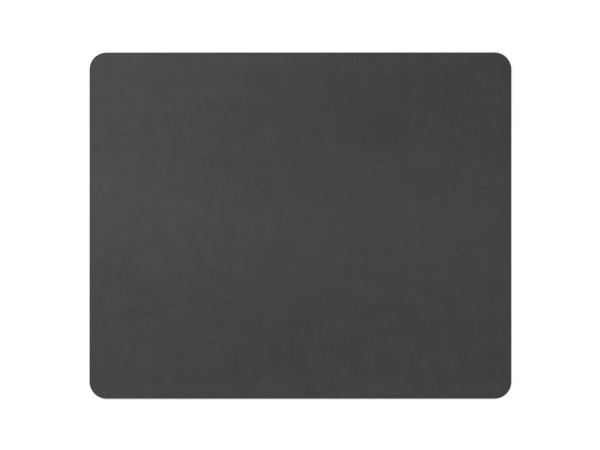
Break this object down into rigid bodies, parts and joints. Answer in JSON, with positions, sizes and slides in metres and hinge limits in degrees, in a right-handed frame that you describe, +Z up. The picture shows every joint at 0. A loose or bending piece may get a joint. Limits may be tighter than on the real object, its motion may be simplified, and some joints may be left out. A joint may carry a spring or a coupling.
{
  "type": "mouse pad",
  "caption": "Flat rounded-rectangle mouse pad: a cloth face for a mouse to slide on, bonded to a foam-rubber base whose wavy embossed ribs keep it from slipping on a desk.",
  "frame": {"origin": "centre of the underside, in the plane of the rib crests that rest on the desk", "axes": "+X along the long side, +Y along the short side away from the user, +Z up out of the cloth face"},
  "size_m": [0.22, 0.1806, 0.002],
  "materials": {
    "foam_rubber": "matte black foam rubber, closed skin on the embossed underside and open cells on the cut wall",
    "adhesive": "thin black hot-melt adhesive, seen only as a line at the cut edge",
    "cloth": "matte charcoal polyester cloth with a fine, even weave"
  },
  "bodies": {
    "root": {"rubber_base": "foam_rubber", "bonding_film": "adhesive", "cloth_face": "cloth"}
  },
  "joints": []
}
